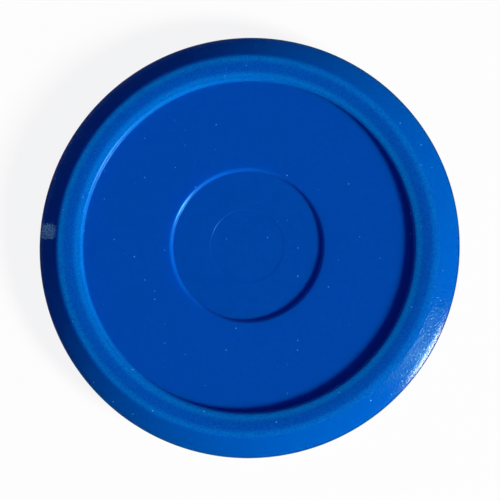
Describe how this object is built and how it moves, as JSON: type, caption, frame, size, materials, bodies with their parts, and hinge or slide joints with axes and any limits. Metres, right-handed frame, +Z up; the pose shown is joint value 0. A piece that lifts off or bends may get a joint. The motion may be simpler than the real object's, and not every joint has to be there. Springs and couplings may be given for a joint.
{
  "type": "air hockey puck",
  "caption": "Round blue plastic air hockey puck with a raised flat running rim, a bevelled edge, a sunken floor and a shallow centre recess on both faces.",
  "frame": {"origin": "centre of the plane that the lower running face lies in, under the puck's middle", "axes": "+Z up along the puck's axis; X and Y are any two directions across the disc"},
  "size_m": [0.0826, 0.0826, 0.0064],
  "materials": {
    "blue_plastic": "through-coloured blue moulded plastic, glossy on the bevel, satin on the floor, scuffed matt on the running face"
  },
  "bodies": {
    "root": {"upper_half": "blue_plastic", "lower_half": "blue_plastic"}
  },
  "joints": []
}
